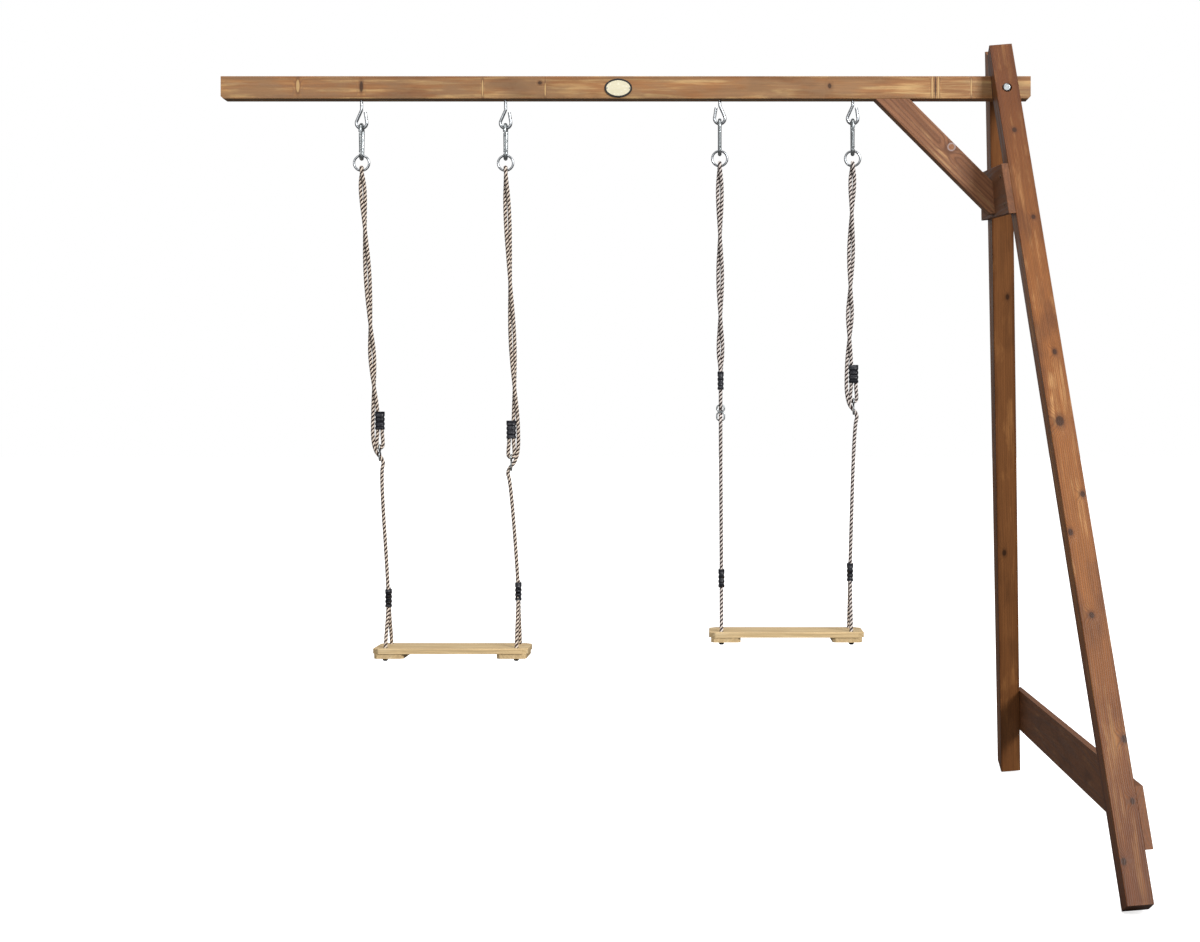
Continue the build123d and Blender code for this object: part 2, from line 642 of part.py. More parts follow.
def make_rope(points, tight, name):
    """A tube along the points; tight lists the points beside a ferrule or a seat hole."""
    radii = corner_radii(points, tight)
    with BuildPart() as rope:
        with BuildLine() as path:
            FilletPolyline(*points, radius=radii)
        with BuildSketch(Plane(origin=path.line @ 0, z_dir=path.line % 0)):
            Circle(ROPE_R)
        sweep(path=path.line)
    length = sum(edge.length for edge in path.line.edges())
    filled = rope.part.volume / (pi * ROPE_R ** 2 * length)
    print(f"{name}: {length:.0f} mm, volume {filled:.4f} of section times length, "
          f"smallest arc {min(radii):.1f}")
    save(rope.part, name)


for number in ROPES:
    make_rope(rope_route(number), (1, 2, 3, 7, -8, -7, -2), f"rope_{number}")
    make_rope(bridle_route(number), (1, 2), f"bridle_{number}")


# ---- rope adjusters: two eyes of bent wire, one above the other ---------------------------------------
for number, rope in ROPES.items():
    middle_x, middle_y, side = rope_frame(number)
    waist = ground(rope["link"])
    with BuildPart() as adjuster:
        for low, high in ((1, LINK_UP), (-LINK_DOWN, -1)):
            eye_plane = Plane(origin=(middle_x, middle_y, waist + (low + high) / 2),
                              x_dir=(-side[1], side[0], 0), z_dir=(side[0], side[1], 0))
            with BuildSketch(eye_plane, mode=Mode.PRIVATE) as eye:
                RectangleRounded(LINK_WIDE, high - low, LINK_CORNER)
            path = eye.sketch.face().outer_wire()
            with BuildSketch(Plane(origin=path @ 0, z_dir=path % 0)):
                Circle(LINK_WIRE_R)
            sweep(path=path)
    save(adjuster.part, f"adjuster_{number}")


# ---- ferrules ---------------------------------------------------------------------------------------------
def ferrule_solid(centre, direction, base):
    """A ribbed clamp round two ropes side by side; direction is its long way."""
    turned = Plane(origin=(centre[0], centre[1], base), x_dir=(direction[0], direction[1], 0),
                   z_dir=(0, 0, 1))
    ridges = ((0, 7), (12, 19), (24, 31), (36, FERRULE_HIGH))
    with BuildPart() as ferrule:
        with BuildSketch(turned):
            SlotOverall(FERRULE_LONG - 2 * FERRULE_WAIST, FERRULE_WIDE - 2 * FERRULE_WAIST)
        extrude(amount=FERRULE_HIGH)
        for low, high in ridges:
            with BuildSketch(turned.offset(low)):
                SlotOverall(FERRULE_LONG, FERRULE_WIDE)
            extrude(amount=high - low)
        with BuildSketch(turned):
            with Locations((-BORE_OFFSET, 0), (BORE_OFFSET, 0)):
                Circle(BORE_R)
        extrude(amount=FERRULE_HIGH, mode=Mode.SUBTRACT)
    return ferrule.part


for swing_name, swing in SWINGS.items():
    uppers, lowers = [], []
    for number in swing["ropes"]:
        middle_x, middle_y, side = rope_frame(number)
        rope = ROPES[number]
        uppers.append(ferrule_solid((middle_x, middle_y), side, ground(rope["upper"])))
        lowers.append(ferrule_solid((rope["hole_x"], 0), (0, 1), ground(rope["lower"])))
    save(Compound(children=uppers), f"{swing_name}_upper_ferrules")
    save(Compound(children=lowers), f"{swing_name}_lower_ferrules")

# ---- gate rivets --------------------------------------------------------------------------------------------
for swing_name, swing in SWINGS.items():
    with BuildPart() as rivets:
        for number in swing["ropes"]:
            with BuildSketch(Plane.YZ.offset(HOOK_X[number - 1])):
                with Locations(gate_point(RIVET_ALONG)):
                    Circle(RIVET_R)
            extrude(amount=GATE_R + REST_GAP, both=True)
    lowered = Location((0, 0, -drop(swing["ropes"][0])))
    save(rivets.part.moved(lowered), f"{swing_name}_gate_rivets")

# ---- seats -----------------------------------------------------------------------------------------------------
for swing_name, swing in SWINGS.items():
    seat_top = ground(swing["seat_top"])
    seat_low = seat_top - SEAT_THICK
    cleat_low = seat_low - CLEAT_THICK
    holes_x = [ROPES[number]["hole_x"] for number in swing["ropes"]]
    rope_holes = [(x, y) for x in holes_x for y in (-HOLE_Y, HOLE_Y)]
    cleats_x = (holes_x[0] + CLEAT_SHIFT, holes_x[1] - CLEAT_SHIFT)
    screw_holes = [(x + dx, 0) for x in cleats_x for dx in (-SEAT_SCREW_X, SEAT_SCREW_X)]
    with BuildPart() as board:
        with BuildSketch(Plane.XY.offset(seat_low)) as outline:
            with Locations((swing["seat_x"], 0)):
                Rectangle(SEAT_LONG, SEAT_DEEP)
            chamfer(outline.vertices(), SEAT_CORNER)
            fillet(outline.vertices(), 6)
            with Locations(*rope_holes):
                Circle(HOLE_R, mode=Mode.SUBTRACT)
            with Locations(*screw_holes):
                Circle(SEAT_SCREW_R + FREE, mode=Mode.SUBTRACT)
        extrude(amount=SEAT_THICK)
        fillet(board.faces().sort_by(Axis.Z)[-1].outer_wire().edges(), SEAT_EDGE)
    save(board.part, f"{swing_name}_seat_board")

    with BuildPart() as cleats:
        with BuildSketch(Plane.XY.offset(cleat_low)) as ends:
            with Locations(*[(x, 0) for x in cleats_x]):
                Rectangle(CLEAT_WIDE, CLEAT_DEEP)
            chamfer(ends.vertices(), CLEAT_CORNER)
            with Locations(*rope_holes):
                Circle(HOLE_R, mode=Mode.SUBTRACT)
            with Locations(*screw_holes):
                Circle(SEAT_SCREW_R + FREE, mode=Mode.SUBTRACT)
        extrude(amount=CLEAT_THICK)
    save(cleats.part, f"{swing_name}_seat_cleats")

    with BuildPart() as seat_screws:
        with BuildSketch(Plane.XY.offset(cleat_low)):
            with Locations(*screw_holes):
                Circle(SEAT_SCREW_R)
        extrude(amount=CLEAT_THICK + SEAT_SCREW_IN_BOARD)
        with BuildSketch(Plane.XY.offset(cleat_low)):
            with Locations(*screw_holes):
                Circle(SEAT_SCREW_HEAD_R)
        extrude(amount=-SCREW_HIGH, taper=SCREW_TAPER)
    save(seat_screws.part, f"{swing_name}_seat_screws")

    with BuildPart() as stoppers:
        with BuildSketch(Plane.XY.offset(cleat_low)):
            with Locations(*rope_holes):
                Circle(STOPPER_R)
        extrude(amount=STOPPER_DOME - STOPPER_HIGH)
        with BuildSketch(Plane.XY.offset(cleat_low - STOPPER_HIGH + STOPPER_DOME)):
            with Locations(*rope_holes):
                Circle(STOPPER_R)
        extrude(amount=-STOPPER_DOME, taper=STOPPER_TAPER)
        with BuildSketch(Plane.XY.offset(cleat_low)):
            with Locations(*rope_holes):
                Circle(ROPE_R + 0.1)
        extrude(amount=-3.1, mode=Mode.SUBTRACT)
    save(stoppers.part, f"{swing_name}_seat_stoppers")

rivet = gate_point(RIVET_ALONG)
print(f"pivots: hook {HOOK_PIVOT:.2f}, ring top {ring_top:.2f}, ring bottom {ring_bottom:.2f}, "
      f"gate rivet y {rivet[0]:.3f} z {rivet[1]:.3f}")
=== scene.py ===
"""Looks of the beam swing set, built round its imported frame."""
import logging
import math
from collections.abc import Sequence
from dataclasses import dataclass
from enum import Enum

import bmesh
import bpy
from mathutils import Matrix, Vector


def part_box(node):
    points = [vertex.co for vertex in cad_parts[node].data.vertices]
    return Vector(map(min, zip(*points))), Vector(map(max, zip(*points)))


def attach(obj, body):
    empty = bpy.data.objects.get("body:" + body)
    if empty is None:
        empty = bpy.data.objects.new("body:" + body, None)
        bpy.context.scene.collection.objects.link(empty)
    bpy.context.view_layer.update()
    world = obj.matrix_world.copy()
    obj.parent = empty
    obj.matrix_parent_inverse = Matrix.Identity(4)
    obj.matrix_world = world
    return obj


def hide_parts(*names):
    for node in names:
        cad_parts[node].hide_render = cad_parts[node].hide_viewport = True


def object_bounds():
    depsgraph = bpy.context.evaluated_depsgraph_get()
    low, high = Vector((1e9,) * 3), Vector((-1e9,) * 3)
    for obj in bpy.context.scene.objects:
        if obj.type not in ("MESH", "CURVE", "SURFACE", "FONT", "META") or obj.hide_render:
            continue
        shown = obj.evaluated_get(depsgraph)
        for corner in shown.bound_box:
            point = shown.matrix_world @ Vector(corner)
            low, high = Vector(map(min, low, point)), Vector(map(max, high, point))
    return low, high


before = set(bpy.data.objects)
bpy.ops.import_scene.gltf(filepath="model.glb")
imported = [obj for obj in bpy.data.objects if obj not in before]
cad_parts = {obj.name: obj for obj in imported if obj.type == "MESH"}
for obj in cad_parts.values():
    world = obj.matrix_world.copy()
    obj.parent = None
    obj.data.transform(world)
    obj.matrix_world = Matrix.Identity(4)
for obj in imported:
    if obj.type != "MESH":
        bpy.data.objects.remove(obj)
cad_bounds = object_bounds()

logging.basicConfig(level=logging.INFO, format="%(message)s")
log = logging.getLogger("swing set")

MM = 0.001
AXIS_HEIGHT = 1.970                     # beam axis above the ground
LEAN = math.atan(0.082)                 # the A-frame leans outward
SPLAY = math.atan(0.433)                # each leg from the upright
Colour = tuple[float, float, float, float]


def stain(red: int, green: int, blue: int) -> Colour:
    """Turn a paint maker's 0 to 255 colour into the linear one that shaders use.

    Args:
        red: red part, 0 to 255.
        green: green part, 0 to 255.
        blue: blue part, 0 to 255.

    Returns:
        The linear colour with full opacity.
    """
    def linear(part: int) -> float:
        share = part / 255
        return share / 12.92 if share <= 0.04045 else ((share + 0.055) / 1.055) ** 2.4

    return linear(red), linear(green), linear(blue), 1.0


# ---- shader graphs -------------------------------------------------------------------------
Socket = bpy.types.NodeSocket
Value = Socket | float | Sequence[float]


class Graph:
    """A material's node tree, with short calls for the nodes that the finishes use."""

    def __init__(self, name: str) -> None:
        """Start a material of that name with a principled shader."""
        self.material = bpy.data.materials.new(name)
        self.material.use_nodes = True
        self.tree = self.material.node_tree
        self.shader = self.tree.nodes["Principled BSDF"]

    def node(self, kind: str, **settings: object) -> bpy.types.Node:
        """Add a node and set its properties."""
        made = self.tree.nodes.new(kind)
        for key, value in settings.items():
            setattr(made, key, value)
        return made

    def feed(self, socket: Socket, value: Value) -> None:
        """Link a socket into another, or set a constant on it."""
        if isinstance(value, bpy.types.NodeSocket):
            self.tree.links.new(value, socket)
        else:
            socket.default_value = value

    def sum(self, kind: str, *values: Value, clamp: bool = False) -> Socket:
        """Work out one number, kind being the Math node's operation."""
        made = self.node("ShaderNodeMath", operation=kind, use_clamp=clamp)
        for socket, value in zip(made.inputs, values):
            self.feed(socket, value)
        return made.outputs[0]

    def mix(self, share: Value, first: Value, second: Value, blend: str = "MIX") -> Socket:
        """Mix two colours by a share."""
        made = self.node("ShaderNodeMix", data_type="RGBA", blend_type=blend)
        self.feed(made.inputs[0], share)
        self.feed(made.inputs[6], first)
        self.feed(made.inputs[7], second)
        return made.outputs[2]

    def band(self, value: Value, low: float, high: float, start: float = 0.0,
             end: float = 1.0) -> Socket:
        """Turn a range of a value smoothly into another range, clamped at its ends."""
        made = self.node("ShaderNodeMapRange", interpolation_type="SMOOTHSTEP")
        for socket, number in zip(made.inputs, (value, low, high, start, end)):
            self.feed(socket, number)
        return made.outputs[0]

    def stretched(self, place: Socket, scale: Sequence[float]) -> Socket:
        """Scale a place along its three directions."""
        made = self.node("ShaderNodeVectorMath", operation="MULTIPLY")
        self.feed(made.inputs[0], place)
        made.inputs[1].default_value = scale
        return made.outputs[0]

    def noise(self, place: Socket, scale: Sequence[float], detail: float = 3.0,
              roughness: float = 0.55) -> Socket:
        """Noise from 0 to 1 over a place stretched by scale, in cycles per metre."""
        made = self.node("ShaderNodeTexNoise")
        self.feed(made.inputs["Vector"], self.stretched(place, scale))
        made.inputs["Scale"].default_value = 1.0
        made.inputs["Detail"].default_value = detail
        made.inputs["Roughness"].default_value = roughness
        return made.outputs["Fac"]

    def placed(self, centre: Sequence[float], turn: Matrix) -> Socket:
        """Object coordinates seen from a piece's own middle and directions."""
        coordinates = self.node("ShaderNodeTexCoord")
        made = self.node("ShaderNodeMapping", vector_type="TEXTURE")
        self.feed(made.inputs["Vector"], coordinates.outputs["Object"])
        made.inputs["Location"].default_value = centre
        made.inputs["Rotation"].default_value = turn.to_euler("XYZ")
        return made.outputs[0]

    def surface(self, colour: Value, roughness: Value, metallic: float = 0.0) -> None:
        """Set the shader's colour, roughness and metal."""
        self.feed(self.shader.inputs["Base Color"], colour)
        self.feed(self.shader.inputs["Roughness"], roughness)
        self.shader.inputs["Metallic"].default_value = metallic

    def bump(self, height: Socket, distance: float, strength: float = 1.0) -> None:
        """Raise the surface by a height, distance being its depth in metres."""
        made = self.node("ShaderNodeBump")
        self.feed(made.inputs["Height"], height)
        made.inputs["Distance"].default_value = distance
        made.inputs["Strength"].default_value = strength
        self.feed(self.shader.inputs["Normal"], made.outputs[0])


# ---- finishes ------------------------------------------------------------------------------
WEATHERED = stain(142, 116, 86)
DRIED_RESIN = stain(176, 168, 172)
STRAY_FIBRE = stain(225, 205, 185)
# Painted shade: a timber's long edges are darkened to stand in for shade.
EDGE_PAINTED_SHADE = (0.68, 0.62, 0.56, 1)      # multiplies the colour along a timber's long edges
EDGE_FROM_TO = (0.018, 0.029)           # metres from the timber's middle
# Painted shade: a timber's two ends are darkened to stand in for shade.
END_PAINTED_SHADE = (0.42, 0.31, 0.19, 1)       # multiplies the colour towards its ends
END_FROM_TO = (0.25, 1.1)


class KnotKind(Enum):
    """How a knot took the stain."""

    DARK = "dark"
    PALE = "pale"
    RINGED = "ringed"


@dataclass(frozen=True)
class Knot:
    """A knot in a timber, in the timber's own directions.

    Attributes:
        along: metres from the timber's middle, along its grain.
        across: metres from its middle, across its width.
        deep: metres from its middle, through its depth.
        size: half sizes along, across and through, in metres.
        kind: how it took the stain.
    """

    along: float
    across: float
    deep: float
    size: tuple[float, float, float]
    kind: KnotKind = KnotKind.DARK


@dataclass(frozen=True)
class WoodFinish:
    """Planed softwood, stained or bare.

    Attributes:
        name: the material's name.
        body: its main colour.
        late: colour of the dark late wood of its rings and of dark patches.
        streak: colour of the pale streaks.
        streaks: how much of it is pale, 0 to 1.
        ring: distance between its growth rings, in metres.
        ring_strength: how strongly the rings show, 0 to 1.
        blotches: how strongly the stain soaked in where it did, 0 to 1.
        pith: the tree's middle, across and through the timber, in metres.
        roughness: how dull it is.
        ends: how much painted shade darkens its two ends, 0 to 1.
        grey: how much it has weathered to grey, 0 to 1.
    """

    name: str
    body: Colour
    late: Colour
    streak: Colour
    streaks: float = 0.5
    ring: float = 0.005
    ring_strength: float = 0.5
    blotches: float = 0.5
    pith: tuple[float, float] = (0.03, 0.09)
    roughness: float = 0.55
    ends: float = 0.0
    grey: float = 0.0

    def material(self, part: str, centre: Sequence[float], turn: Matrix,
                 knots: Sequence[Knot] = ()) -> bpy.types.Material:
        """Make the finish for one timber.

        Args:
            part: the timber's name.
            centre: the timber's middle, in metres.
            turn: its directions, the grain first.
            knots: the knots that it shows.

        Returns:
            The material.
        """
        graph = Graph(f"{self.name}_{part}")
        place = graph.placed(centre, turn)
        warp_across = graph.noise(place, (1.1, 6, 6), 2)
        warp_deep = graph.noise(graph.stretched(place, (1, -1, 1)), (0.9, 5, 7), 2)
        split = graph.node("ShaderNodeSeparateXYZ")
        graph.feed(split.inputs[0], place)
        across = graph.sum("ADD", split.outputs[1], graph.sum("MULTIPLY", warp_across, 0.05))
        deep = graph.sum("ADD", split.outputs[2], graph.sum("MULTIPLY", warp_deep, 0.05))
        across = graph.sum("SUBTRACT", across, self.pith[0])
        deep = graph.sum("SUBTRACT", deep, self.pith[1])
        radius = graph.sum("SQRT", graph.sum(
            "ADD", graph.sum("MULTIPLY", across, across), graph.sum("MULTIPLY", deep, deep)))
        shades = []
        for knot in knots:
            away = graph.node("ShaderNodeVectorMath", operation="SUBTRACT")
            graph.feed(away.inputs[0], place)
            away.inputs[1].default_value = (knot.along, knot.across, knot.deep)
            length = graph.node("ShaderNodeVectorMath", operation="LENGTH")
            graph.feed(length.inputs[0], graph.stretched(
                away.outputs[0], tuple(1 / half for half in knot.size)))
            distance = length.outputs["Value"]
            pull = graph.band(distance, 0.0, 3.5, max(knot.size[0], 0.006) * 1.3, 0.0)
            radius = graph.sum("ADD", radius, pull)
            shades.append((knot.kind, distance))
        rings = graph.sum("MULTIPLY_ADD", graph.sum(
            "SINE", graph.sum("MULTIPLY", radius, 2 * math.pi / self.ring)), 0.5, 0.5)
        late = graph.sum("POWER", rings, 2.2)
        fibre = graph.noise(place, (14, 700, 700), 3, 0.7)
        grain = graph.noise(place, (5, 170, 170), 3, 0.6)
        streaks = graph.noise(place, (4.5, 75, 75), 5, 0.62)
        patches = graph.noise(graph.stretched(place, (1, 1, -1)), (7, 22, 22), 4, 0.6)
        soaked = graph.noise(graph.stretched(place, (-1, 1, 1)), (5.5, 16, 16), 3, 0.55)
        pale = graph.sum("MULTIPLY", graph.band(streaks, 0.44, 0.66),
                         graph.band(patches, 0.60 - 0.3 * self.streaks, 0.74 - 0.3 * self.streaks))
        colour = graph.mix(graph.sum("MULTIPLY", pale, 0.85), self.body, self.streak)
        dark_patch = graph.sum("MULTIPLY", graph.band(soaked, 0.50, 0.74), self.blotches)
        colour = graph.mix(dark_patch, colour, self.late)
        lines = graph.sum("MULTIPLY", late, graph.band(grain, 0.30, 0.62, 0.35, 1.0))
        colour = graph.mix(graph.sum("MULTIPLY", lines, self.ring_strength), colour, self.late)
        shade = graph.sum("MULTIPLY_ADD", fibre, 0.45, graph.sum("MULTIPLY", grain, 0.55))
        tone = graph.band(shade, 0.32, 0.68, 0.80, 1.16)
        toned = graph.node("ShaderNodeVectorMath", operation="SCALE")
        graph.feed(toned.inputs[0], colour)
        graph.feed(toned.inputs["Scale"], tone)
        colour = self.weather_and_paint_shade(graph, toned.outputs[0], place, split, patches)
        for kind, distance in shades:
            colour = self.knot_colour(graph, kind, distance, colour)
        dull = graph.band(late, 0.0, 1.0, self.roughness, self.roughness - 0.12)
        graph.surface(colour, dull)
        graph.shader.inputs["Specular IOR Level"].default_value = 0.3
        graph.bump(graph.sum("ADD", graph.sum("MULTIPLY", late, 0.5),
                             graph.sum("MULTIPLY", fibre, 0.7)), 0.0004, 0.6)
        return graph.material

    def weather_and_paint_shade(self, graph: Graph, colour: Socket, place: Socket, split: bpy.types.Node,
             patches: Socket) -> Socket:
        """Darken a timber's edges and ends with painted shade, and weather it to grey in places.

        Args:
            graph: the material's nodes.
            colour: its colour so far.
            place: the place in the timber's own directions.
            split: that place's three parts.
            patches: noise that the grey follows.

        Returns:
            The new colour.
        """
        if self.grey:
            share = graph.band(patches, 0.62, 0.40, 0.0, self.grey)
            colour = graph.mix(share, colour, WEATHERED)
        away = [graph.sum("ABSOLUTE", split.outputs[part]) for part in range(3)]
        # Painted shade: darker along the timber's long edges, broken up by noise.
        near_edge = graph.band(graph.sum("MINIMUM", away[1], away[2]), *EDGE_FROM_TO)
        broken = graph.band(graph.noise(place, (9, 60, 60), 3), 0.25, 0.6, 0.4, 1.0)
        edge = graph.sum("MULTIPLY", near_edge, broken)
        colour = graph.mix(edge, colour, EDGE_PAINTED_SHADE, "MULTIPLY")
        # Painted shade: darker towards the timber's two ends.
        if self.ends:
            end = graph.band(away[0], *END_FROM_TO, 0.0, self.ends)
            colour = graph.mix(end, colour, END_PAINTED_SHADE, "MULTIPLY")
        return colour

    def knot_colour(self, graph: Graph, kind: KnotKind, distance: Socket,
                    colour: Socket) -> Socket:
        """Colour one knot over the timber's colour."""
        inside = graph.band(distance, 0.75, 1.05, 1.0, 0.0)
        halo = graph.band(distance, 0.9, 2.0, 0.55, 0.0)
        rim = graph.sum("MULTIPLY", inside, graph.band(distance, 0.5, 0.85))
        if kind is KnotKind.PALE:
            colour = graph.mix(halo, colour, self.late)
            return graph.mix(graph.sum("MULTIPLY", inside, 0.8), colour, self.streak)
        colour = graph.mix(halo, colour, self.late)
        heart = tuple(part * 0.35 for part in self.late[:3]) + (1.0,)
        colour = graph.mix(graph.sum("MULTIPLY", inside, 0.85), colour, heart)
        if kind is KnotKind.RINGED:
            colour = graph.mix(inside, colour, self.body)
            colour = graph.mix(graph.sum("MULTIPLY", rim, 0.65), colour, DRIED_RESIN)
        return colour


@dataclass(frozen=True)
class MetalFinish:
    """Zinc-plated steel, with its fine spangle and small scratches."""

    name: str
    colour: Colour
    roughness: float = 0.28

    def material(self) -> bpy.types.Material:
        """Make the finish."""
        graph = Graph(self.name)
        place = graph.placed((0, 0, 0), Matrix.Identity(3))
        cloud = graph.noise(place, (260, 260, 260), 4, 0.6)
        fine = graph.noise(place, (1900, 1900, 700), 2, 0.6)
        dark = tuple(part * 0.62 for part in self.colour[:3]) + (1.0,)
        dull = graph.band(cloud, 0.3, 0.7, self.roughness - 0.08, self.roughness + 0.14)
        graph.surface(graph.mix(graph.band(cloud, 0.35, 0.7), self.colour, dark), dull, 1.0)
        graph.bump(fine, 0.00006, 0.5)
        return graph.material


@dataclass(frozen=True)
class PlasticFinish:
    """Moulded plastic with a faint orange-peel surface."""

    name: str
    colour: Colour
    roughness: float = 0.38

    def material(self) -> bpy.types.Material:
        """Make the finish."""
        graph = Graph(self.name)
        place = graph.placed((0, 0, 0), Matrix.Identity(3))
        peel = graph.noise(place, (650, 650, 650), 3, 0.5)
        wear = graph.noise(place, (120, 120, 200), 4, 0.65)
        pale = tuple(min(1.0, part * 2.6 + 0.012) for part in self.colour[:3]) + (1.0,)
        graph.surface(graph.mix(graph.band(wear, 0.52, 0.75, 0.0, 0.6), self.colour, pale),
                      graph.band(wear, 0.3, 0.7, self.roughness - 0.08, self.roughness + 0.16))
        graph.bump(peel, 0.00012, 0.6)
        return graph.material


@dataclass(frozen=True)
class YarnFinish:
    """One colour of a laid rope's strands, with its twisted yarns and stray fibres."""

    name: str
    colour: Colour
    yarns: int = 7

    def material(self) -> bpy.types.Material:
        """Make the finish; the pattern follows the strand's own along and round."""
        graph = Graph(self.name)
        strand = graph.node("ShaderNodeUVMap", uv_map="strand")
        split = graph.node("ShaderNodeSeparateXYZ")
        graph.feed(split.inputs[0], strand.outputs[0])
        turns = graph.sum("MULTIPLY_ADD", split.outputs[0], 150.0,
                          graph.sum("MULTIPLY", split.outputs[1], -float(self.yarns)))
        twist = graph.sum("MULTIPLY_ADD", graph.sum(
            "SINE", graph.sum("MULTIPLY", turns, 2 * math.pi)), 0.5, 0.5)
        place = graph.placed((0, 0, 0), Matrix.Identity(3))
        fuzz = graph.noise(place, (900, 900, 900), 4, 0.7)
        patch = graph.noise(place, (45, 45, 45), 3, 0.6)
        dark = tuple(part * 0.42 for part in self.colour[:3]) + (1.0,)
        # Painted shade: each yarn darkens towards the grooves between yarns, where the twist is
        # low.
        colour = graph.mix(graph.band(twist, 0.0, 0.55, 0.6, 0.0), self.colour, dark)
        colour = graph.mix(graph.band(patch, 0.4, 0.75, 0.0, 0.35), colour, dark)
        colour = graph.mix(graph.band(fuzz, 0.64, 0.82, 0.0, 0.25), colour, STRAY_FIBRE)
        graph.surface(colour, 0.85)
        graph.shader.inputs["Sheen Weight"].default_value = 0.1
        graph.shader.inputs["Sheen Roughness"].default_value = 0.5
        graph.bump(graph.sum("MULTIPLY_ADD", twist, 0.7, graph.sum("MULTIPLY", fuzz, 0.5)),
                   0.0005, 0.8)
        return graph.material


STAINED_BEAM = WoodFinish("stained_beam", stain(158, 109, 66), stain(102, 66, 41),
                          stain(204, 166, 112), 0.75, 0.008, 0.34, 0.6, (0.02, 0.10), 0.5,
                          grey=0.45)
# The front leg takes painted shade towards both its ends.
STAINED_LEG = WoodFinish("stained_leg", stain(145, 89, 41), stain(88, 49, 23),
                         stain(190, 140, 88), 0.45, 0.0042, 0.5, 0.6, (0.16, 0.05), 0.5,
                         ends=0.85)
STAINED_BACK_LEG = WoodFinish("stained_back_leg", stain(132, 84, 46), stain(88, 54, 30),
                              stain(166, 112, 64), 0.35, 0.006, 0.25, 0.4, (0.12, 0.08), 0.5)
STAINED_BOARD = WoodFinish("stained_board", stain(120, 76, 47), stain(74, 46, 29),
                           stain(152, 106, 68), 0.3, 0.007, 0.35, 0.5, (0.03, 0.12), 0.6)
STAINED_BRACE = WoodFinish("stained_brace", stain(147, 99, 67), stain(90, 56, 38),
                           stain(190, 148, 102), 0.5, 0.009, 0.6, 0.3, (0.01, 0.06), 0.5)
BARE_PINE = WoodFinish("bare_pine", stain(212, 184, 138), stain(176, 140, 92),
                       stain(232, 208, 164), 0.5, 0.008, 0.30, 0.25, (0.05, 0.14), 0.62)
BRIGHT_ZINC = MetalFinish("bright_zinc", (0.46, 0.48, 0.50, 1.0), 0.24)
DULL_ZINC = MetalFinish("dull_zinc", (0.44, 0.47, 0.48, 1.0), 0.34)
STAINED_SCREW = MetalFinish("stained_screw", (0.17, 0.12, 0.08, 1.0), 0.6)
BLACK_PLASTIC = PlasticFinish("black_plastic", stain(24, 24, 28))
CLAMP_PLASTIC = PlasticFinish("clamp_plastic", stain(26, 27, 34), 0.34)
BADGE_CREAM = PlasticFinish("badge_cream", stain(222, 214, 184), 0.35)
BADGE_RIM = PlasticFinish("badge_rim", stain(22, 20, 19), 0.35)


# ---- mesh helpers --------------------------------------------------------------------------
def finished(name: str, mesh: bpy.types.Mesh, materials: Sequence[bpy.types.Material],
             body: str, nodes: Sequence[str] = ()) -> bpy.types.Object:
    """Put a mesh in the scene as a piece that rides on a body.

    Args:
        name: the piece's name.
        mesh: its mesh, already in place.
        materials: its materials, in slot order; none where the mesh brings its own.
        body: the body that it rides on.
        nodes: the plain nodes that it stands for.

    Returns:
        The piece.
    """
    piece = bpy.data.objects.new(name, mesh)
    bpy.context.scene.collection.objects.link(piece)
    for material in materials:
        mesh.materials.append(material)
    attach(piece, body)
    if nodes:
        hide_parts(*nodes)
    log.info("%s: %d faces, on %s", name, len(mesh.polygons), body)
    return piece


def mesh_of(bm: bmesh.types.BMesh, name: str, smooth: bool = True) -> bpy.types.Mesh:
    """Write a bmesh out as a mesh, with its faces outwards."""
    bmesh.ops.recalc_face_normals(bm, faces=bm.faces)
    mesh = bpy.data.meshes.new(name)
    bm.to_mesh(mesh)
    bm.free()
    mesh.polygons.foreach_set("use_smooth", [smooth] * len(mesh.polygons))
    return mesh


def evaluated_mesh(data: bpy.types.Curve) -> bpy.types.Mesh:
    """Turn a curve into the mesh that it shows."""
    holder = bpy.data.objects.new(data.name, data)
    bpy.context.scene.collection.objects.link(holder)
    graph = bpy.context.evaluated_depsgraph_get()
    mesh = bpy.data.meshes.new_from_object(holder.evaluated_get(graph))
    bpy.data.objects.remove(holder)
    bpy.data.curves.remove(data)
    return mesh


def smooth_line(points: Sequence[Vector], name: str) -> list[Vector]:
    """The smooth line that a rope lies on.

    Args:
        points: the route's control points.
        name: a name for the curve.

    Returns:
        Points along the route's spline, from its first end to its last.
    """
    data = bpy.data.curves.new(name, "CURVE")
    data.dimensions = "3D"
    spline = data.splines.new("NURBS")
    spline.points.add(len(points) - 1)
    for control, point in zip(spline.points, points):
        control.co = (*point, 1.0)
    spline.order_u = 3
    spline.use_endpoint_u = True
    data.resolution_u = 40
    mesh = evaluated_mesh(data)
    line = [vertex.co.copy() for vertex in mesh.vertices]
    bpy.data.meshes.remove(mesh)
    return line


def evenly(line: Sequence[Vector], step: float) -> list[Vector]:
    """Points at an even distance along a line of points."""
    even, carried = [line[0].copy()], 0.0
    for start, end in zip(line, line[1:]):
        length = (end - start).length
        reach = step - carried
        while reach <= length:
            even.append(start.lerp(end, reach / length))
            reach += step
        carried = length - (reach - step)
    even.append(line[-1].copy())
    return even


# ---- ropes ---------------------------------------------------------------------------------
@dataclass(frozen=True)
class RopeFinish:
    """The two colours of a laid rope."""

    dark: YarnFinish
    pale: YarnFinish

    def materials(self) -> list[bpy.types.Material]:
        """Make both colours."""
        return [self.dark.material(), self.pale.material()]


RUSTY_ROPE = RopeFinish(YarnFinish("rope_russet", stain(46, 20, 12)),
                        YarnFinish("rope_cream", stain(243, 226, 208)))
BROWN_ROPE = RopeFinish(YarnFinish("rope_brown", stain(38, 20, 17)),
                        YarnFinish("rope_pale", stain(240, 228, 220)))


